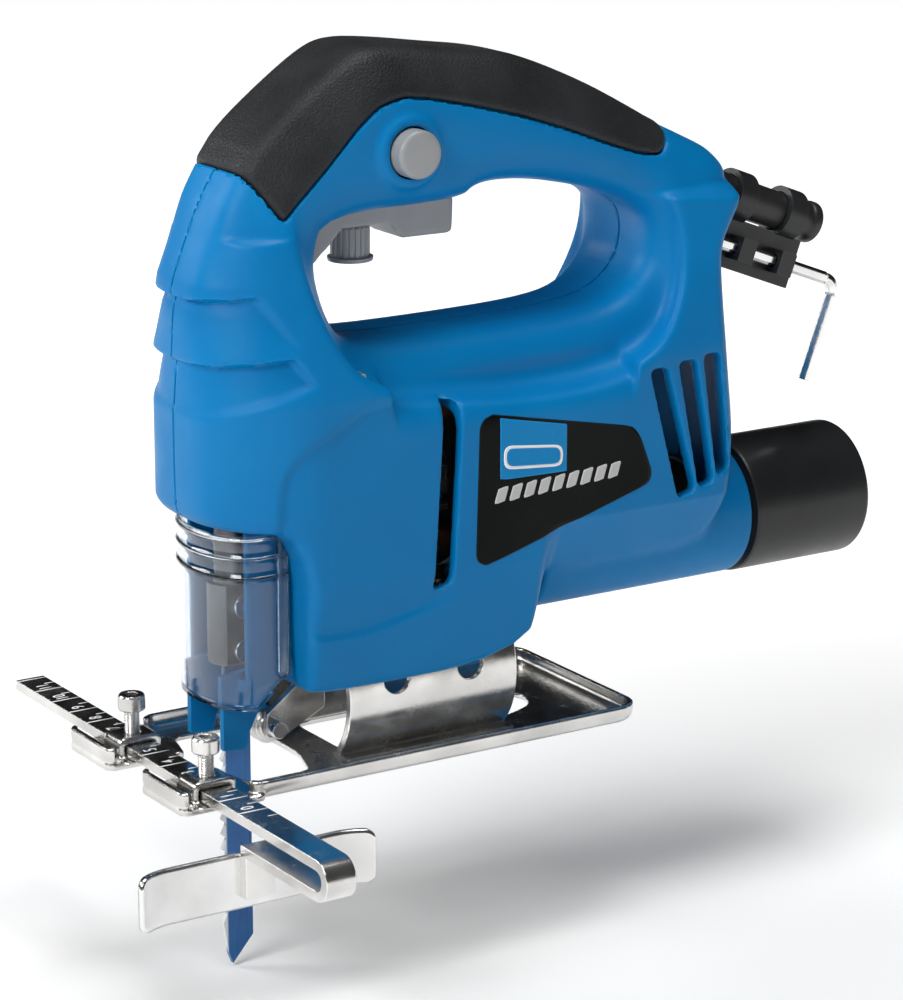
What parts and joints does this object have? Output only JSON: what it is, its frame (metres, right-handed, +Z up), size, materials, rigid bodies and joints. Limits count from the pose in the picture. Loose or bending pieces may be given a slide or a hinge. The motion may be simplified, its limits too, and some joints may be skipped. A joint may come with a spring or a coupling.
{
  "type": "jigsaw power tool",
  "caption": "Corded hand-held jigsaw with closed top handle, tilting stamped sole, guide fence, blade roller, clear chip guard and dust port.",
  "frame": {"origin": "middle of the blade on the plane of the sole's underside", "axes": "+X back towards the dust port, +Y away from the lock button's side, +Z up, square to the sole"},
  "size_m": [0.243, 0.163, 0.2384],
  "materials": {
    "blue_shell": "fine moulded texture, satin",
    "black_grip": "leathery grain",
    "black_plastic": "fine grain",
    "black_rubber": "smooth",
    "grey_plastic": "satin",
    "clear_plastic": "clear, polished",
    "label_print": "glossy",
    "zinc_steel": "bright zinc plate",
    "bright_steel": "polished",
    "dark_steel": "oiled laminations",
    "blade_paint": "satin",
    "cast_alloy": "as cast",
    "brass": "turned",
    "copper_winding": "varnished",
    "carbon": "matt"
  },
  "bodies": {
    "housing": {"left_housing": "blue_shell", "right_housing": "blue_shell", "soft_grip": "black_grip", "label": "label_print", "housing_screws": "zinc_steel", "switch_body": "black_plastic", "speed_module": "black_plastic", "cable_clamp": "black_plastic", "strain_relief": "black_rubber", "key_holder": "black_plastic", "front_bearing": "bright_steel", "rear_bearing": "bright_steel", "field_core": "dark_steel", "field_coils": "copper_winding", "brush_holders": "brass", "carbon_brushes": "carbon", "gear_plate": "cast_alloy", "gear_axle": "bright_steel", "lower_bush": "brass", "upper_bush": "brass", "blade_guard": "blue_shell", "roller_bracket": "zinc_steel", "bevel_inserts": "brass", "roller_axle": "bright_steel"},
    "trigger": {"trigger": "grey_plastic"},
    "speed_dial": {"speed_dial": "grey_plastic"},
    "lock_button": {"lock_button": "grey_plastic"},
    "hex_key": {"hex_key": "bright_steel"},
    "dust_collar": {"dust_collar": "black_plastic"},
    "armature": {"armature_shaft": "bright_steel", "armature_core": "dark_steel", "commutator": "copper_winding", "fan": "black_plastic", "pinion": "bright_steel"},
    "gear": {"drive_gear": "dark_steel", "crank_pin": "bright_steel"},
    "plunger": {"plunger": "bright_steel", "yoke": "dark_steel", "blade_clamp": "zinc_steel", "clamp_screws": "bright_steel", "blade": "blade_paint"},
    "dust_cover": {"dust_cover": "clear_plastic"},
    "roller": {"roller": "bright_steel"},
    "sole": {"sole_plate": "zinc_steel", "bevel_arch": "zinc_steel"},
    "front_bevel_screw": {"front_bevel_screw": "bright_steel"},
    "rear_bevel_screw": {"rear_bevel_screw": "bright_steel"},
    "guide": {"guide_bar": "zinc_steel", "fence_plate": "zinc_steel", "fence_rivet": "bright_steel"},
    "near_guide_screw": {"near_guide_screw": "bright_steel"},
    "far_guide_screw": {"far_guide_screw": "bright_steel"}
  },
  "joints": [
    {"name": "trigger_press", "type": "slide", "parent": "housing", "child": "trigger", "axis": [0, 0, 1], "range_m": [0, 0.0045], "stiffness_N_per_m": 600, "springref_m": -0.004},
    {"name": "speed_turn", "type": "hinge", "parent": "trigger", "child": "speed_dial", "pos_m": [0.035, 0, 0.13], "axis": [0, 0, 1], "range_deg": [-150, 150]},
    {"name": "lock_press", "type": "slide", "parent": "housing", "child": "lock_button", "axis": [0, 1, 0], "range_m": [0, 0.004], "stiffness_N_per_m": 300, "springref_m": -0.002},
    {"name": "key_pull", "type": "slide", "parent": "housing", "child": "hex_key", "axis": [0.9336, 0, -0.3584], "range_m": [0, 0.03]},
    {"name": "collar_pull", "type": "slide", "parent": "housing", "child": "dust_collar", "axis": [1, 0, 0], "range_m": [0, 0.02]},
    {"name": "armature_spin", "type": "hinge", "parent": "housing", "child": "armature", "pos_m": [0.05, 0, 0.0695], "axis": [1, 0, 0], "continuous": true},
    {"name": "gear_spin", "type": "hinge", "parent": "housing", "child": "gear", "pos_m": [0.0135, 0, 0.0975], "axis": [1, 0, 0], "continuous": true},
    {"name": "stroke", "type": "slide", "parent": "housing", "child": "plunger", "axis": [0, 0, 1], "range_m": [-0.009, 0.009]},
    {"name": "cover_pull", "type": "slide", "parent": "housing", "child": "dust_cover", "axis": [-1, 0, 0], "range_m": [0, 0.004]},
    {"name": "roller_spin", "type": "hinge", "parent": "housing", "child": "roller", "pos_m": [0.00925, 0, 0.008], "axis": [0, 1, 0], "continuous": true},
    {"name": "bevel", "type": "hinge", "parent": "housing", "child": "sole", "pos_m": [0.03, 0, 0.017], "axis": [1, 0, 0], "range_deg": [-45, 45]},
    {"name": "front_bevel_turn", "type": "hinge", "parent": "housing", "child": "front_bevel_screw", "pos_m": [0.035, 0, 0.03], "axis": [0, 0, 1], "range_deg": [-720, 0]},
    {"name": "rear_bevel_turn", "type": "hinge", "parent": "housing", "child": "rear_bevel_screw", "pos_m": [0.057, 0, 0.03], "axis": [0, 0, 1], "range_deg": [-720, 0]},
    {"name": "guide_slide", "type": "slide", "parent": "sole", "child": "guide", "axis": [0, -1, 0], "range_m": [-0.036, 0.04]},
    {"name": "near_guide_turn", "type": "hinge", "parent": "sole", "child": "near_guide_screw", "pos_m": [-0.021, -0.023, 0.01], "axis": [0, 0, 1], "range_deg": [-720, 0]},
    {"name": "far_guide_turn", "type": "hinge", "parent": "sole", "child": "far_guide_screw", "pos_m": [-0.021, 0.016, 0.01], "axis": [0, 0, 1], "range_deg": [-720, 0]}
  ],
  "couplings": [
    {"joint": "gear_spin", "follows": "armature_spin", "ratio": -0.16667}
  ]
}
